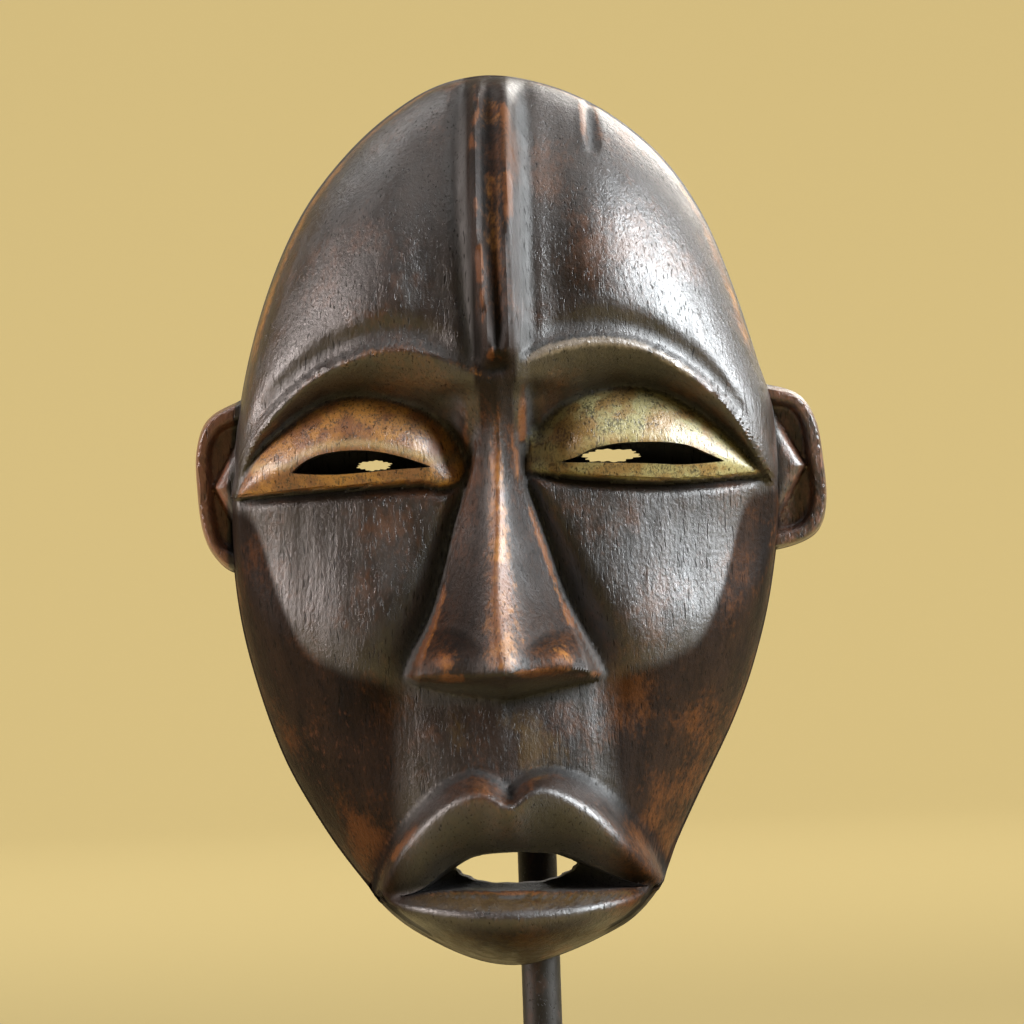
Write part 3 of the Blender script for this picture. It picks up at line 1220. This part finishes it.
DARK_ROD = PatinatedSteel(colour(22, 17, 13), colour(56, 34, 21), 0.6, (0.42, 0.6), 0.3)
BLACK_OXIDE = PatinatedSteel(colour(40, 39, 40), rusting=0.15, roughness=(0.35, 0.5))
ZINC = BrightSteel(colour(176, 174, 166))
StandFinish = PatinatedSteel | BrightSteel | Rubber | EbonisedWood
STAND_FINISHES: dict[str, StandFinish] = {
    "base_block": EbonisedWood(),
    "post_socket": BLACK_OXIDE,
    "set_screw": BLACK_OXIDE,
    "socket_washer": ZINC,
    "socket_nut": ZINC,
    "post": DARK_ROD,
    "hanger_hook": DARK_ROD,
    "hook_sleeve": Rubber(),
    "cross_arm": DARK_ROD,
    "arm_screw": BLACK_OXIDE,
    "arm_pad_left": Rubber(),
    "arm_pad_right": Rubber(),
    "chin_sleeve": Rubber(),
}


# ------------------------------------------------------------------ the stand
@dataclass
class Stand:
    """The CAD stand with its finishes, and the felt under its base."""

    finishes: dict[str, PatinatedSteel | BrightSteel | Rubber | EbonisedWood] = field(
        default_factory=lambda: STAND_FINISHES)

    def dress(self) -> list[str]:
        """Gives every CAD node of the stand its finish.

        Returns:
            The names of the dressed nodes.
        """
        for node, finish in self.finishes.items():
            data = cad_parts[node].data
            made = finish.material(node)
            if not data.materials:
                data.materials.append(made)
            for index in range(len(data.materials)):
                data.materials[index] = made
        return list(self.finishes)


@dataclass
class BaseFelt:
    """The felt sheet glued under the base: rounded corners and a slightly furry cut edge."""

    corner: float = 5 * MM
    frayed: float = 0.12 * MM
    per_corner: int = 10
    per_side: int = 40

    def outline(self, half_x: float, half_y: float) -> Array:
        """Points round a rectangle with rounded corners, as rows (x, y)."""
        points: list[Point] = []
        for quarter, (sx, sy) in enumerate(((1, 1), (-1, 1), (-1, -1), (1, -1))):
            centre = (sx * (half_x - self.corner), sy * (half_y - self.corner))
            for step in range(self.per_corner + 1):
                turn = (quarter + step / self.per_corner) * math.pi / 2
                points.append((centre[0] + self.corner * math.cos(turn),
                               centre[1] + self.corner * math.sin(turn)))
        corners = np.array(points)
        filled: list[Array] = []
        for a, b in zip(corners, np.roll(corners, -1, 0)):
            steps = self.per_side if np.hypot(*(b - a)) > 4 * self.corner else 1
            filled += [a + (b - a) * i / steps for i in range(steps)]
        return np.array(filled)

    def build(self, finish: Felt) -> bpy.types.Object:
        """Args:
            finish: The felt's finish.

        Returns:
            The felt.
        """
        low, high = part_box("base_felt")
        middle, half = (low + high) / 2, (high - low) / 2
        draw = np.random.default_rng(5)
        rings = []
        for share, inset in ((0.0, 0.35 * MM), (0.22, 0.0), (0.8, 0.0), (1.0, 0.3 * MM)):
            line = self.outline(half.x - inset, half.y - inset)
            line = line * (1 - draw.uniform(0, self.frayed / half.y, (len(line), 1)))
            z = np.full((len(line), 1), low.z + (high.z - low.z) * share)
            rings.append(np.hstack([line + np.array([middle.x, middle.y]), z]))
        felt = smooth(lofted("base_felt_sheet", rings), 50)
        felt.data.materials.clear()
        felt.data.materials.append(finish.material("base_felt"))
        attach(felt, "base")
        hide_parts("base_felt")
        return felt


# ------------------------------------------------------------------ the studio
@dataclass
class Softbox:
    """One large soft light that points at the mask, or at a spot of its own."""

    place: tuple[float, float, float]
    size: tuple[float, float]
    power: float
    tint: Rgb
    own_aim: tuple[float, float, float] | None = None
    spread: float = 180.0

    def build(self, name: str, aim: Vector) -> None:
        """Puts the light in its place.

        Args:
            name: The light's name.
            aim: The point it is turned to, if it has none of its own.
        """
        aim = Vector(self.own_aim or aim)
        start_clean()
        bpy.ops.object.light_add(type="AREA", location=self.place)
        light = bpy.context.object
        light.name = name
        light.rotation_euler = (aim - Vector(self.place)).to_track_quat("-Z", "Y").to_euler()
        light.data.shape = "RECTANGLE"
        light.data.size, light.data.size_y = self.size
        light.data.energy = self.power
        light.data.color = self.tint
        light.data.spread = math.radians(self.spread)
        light.visible_camera = False


@dataclass
class Studio:
    """A round seamless floor, six soft lights and pale surroundings."""

    flat_radius: float = 5.2
    rise_radius: float = 3.0
    wall_height: float = 5.0
    floor_colour: Rgb = colour(158, 142, 97)
    air: Rgb = (1.0, 0.97, 0.92)
    air_strength: float = 0.11
    lights: dict[str, Softbox] = field(default_factory=lambda: {
        "right_light": Softbox((1.7, -0.6, 1.05), (1.0, 0.9), 38.0, (0.92, 0.97, 1.0), spread=90),
        "left_light": Softbox((-1.8, -0.4, 0.65), (0.5, 0.8), 11.0, (1.0, 0.88, 0.83), spread=90),
        "top_light": Softbox((0.1, -0.7, 2.0), (1.2, 0.9), 3.0, (1.0, 0.98, 0.95), spread=110),
        "back_light": Softbox((0.9, 2.0, 1.3), (1.0, 1.0), 7.0, (1.0, 0.97, 0.92), spread=90),
        **{f"floor_light_{name}": Softbox((x, 2.5, 4.5), (2.0, 2.0), 276.0, (1.0, 0.98, 0.96),
                                          (0.0, 6.5, 0.2), 150)
           for name, x in (("left", -2.5), ("right", 2.5))},
    })

    def build(self, aim: Vector) -> None:
        """Builds the floor, the lights and the surroundings.

        Args:
            aim: The point that the lights are turned to.
        """
        turns = np.linspace(0, 2 * math.pi, FLOOR_STEPS, endpoint=False)
        ring = np.stack([np.cos(turns), np.sin(turns)], 1)
        profile = [(self.flat_radius, 0.0)]
        for turn in np.linspace(0, math.pi / 2, 20)[1:]:
            profile.append((self.flat_radius + self.rise_radius * math.sin(turn),
                            self.rise_radius * (1 - math.cos(turn))))
        profile.append((profile[-1][0], self.wall_height))
        rings = [np.hstack([ring * radius, np.full((FLOOR_STEPS, 1), z)]) for radius, z in profile]
        floor = lofted("floor", rings, False)
        smooth(floor, 60)
        material, _, shader = new_material("floor")
        shader.inputs["Base Color"].default_value = (*self.floor_colour, 1)
        shader.inputs["Roughness"].default_value = 0.9
        shader.inputs["Specular IOR Level"].default_value = 0.1
        floor.data.materials.append(material)
        for name, light in self.lights.items():
            light.build(name, aim)
        world = bpy.data.worlds.new("surroundings")
        world.use_nodes = True
        background = world.node_tree.nodes["Background"]
        background.inputs["Color"].default_value = (*self.air, 1)
        background.inputs["Strength"].default_value = self.air_strength
        bpy.context.scene.world = world
        bpy.context.scene.view_settings.view_transform = "Standard"


@dataclass
class StudioCamera:
    """A long lens square to the face, leaning a little."""

    right_of_middle: float = 0.0036
    above_chin: float = 0.1268
    before_rim: float = 0.024
    distance: float = 3.0
    frame_width: float = 0.286
    sensor: float = 36.0
    lean: float = 1.95

    def build(self, spot: MaskFrame) -> bpy.types.Object:
        """Makes the scene's camera.

        Args:
            spot: The mask's place.

        Returns:
            The camera.
        """
        start_clean()
        aim = Vector((spot.centre_x + self.right_of_middle, spot.rim_y - self.before_rim,
                      spot.chin_z + self.above_chin))
        bpy.ops.object.camera_add(location=aim - Vector((0, self.distance, 0)))
        camera = bpy.context.object
        camera.name = "camera"
        lean = math.radians(self.lean)
        right = Vector((math.cos(lean), 0, -math.sin(lean)))
        up = Vector((math.sin(lean), 0, math.cos(lean)))
        camera.rotation_euler = Matrix((right, up, Vector((0, -1, 0)))).transposed().to_euler()
        camera.data.sensor_width = self.sensor
        camera.data.lens = self.sensor * self.distance / self.frame_width
        camera.data.clip_start, camera.data.clip_end = 0.05, 30
        bpy.context.scene.camera = camera
        return camera


# ------------------------------------------------------------------ all together
def main() -> None:
    """Builds every piece in order."""
    logging.basicConfig(level=logging.INFO, format="%(name)s %(message)s")
    stand = Stand()
    log.info("stand nodes dressed: %s", ", ".join(stand.dress()))
    felt = BaseFelt().build(Felt())
    log.info("%s: %d faces", felt.name, len(felt.data.polygons))
    mask = CarvedMask().build(CarvedWood())
    log.info("%s: %d faces", mask.name, len(mask.data.polygons))
    spot = MaskFrame.from_cad()
    low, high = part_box("carved_mask")
    Studio().build((low + high) / 2)
    StudioCamera().build(spot)
    log.info("studio and camera in place")


if __name__ == "__main__":
    main()
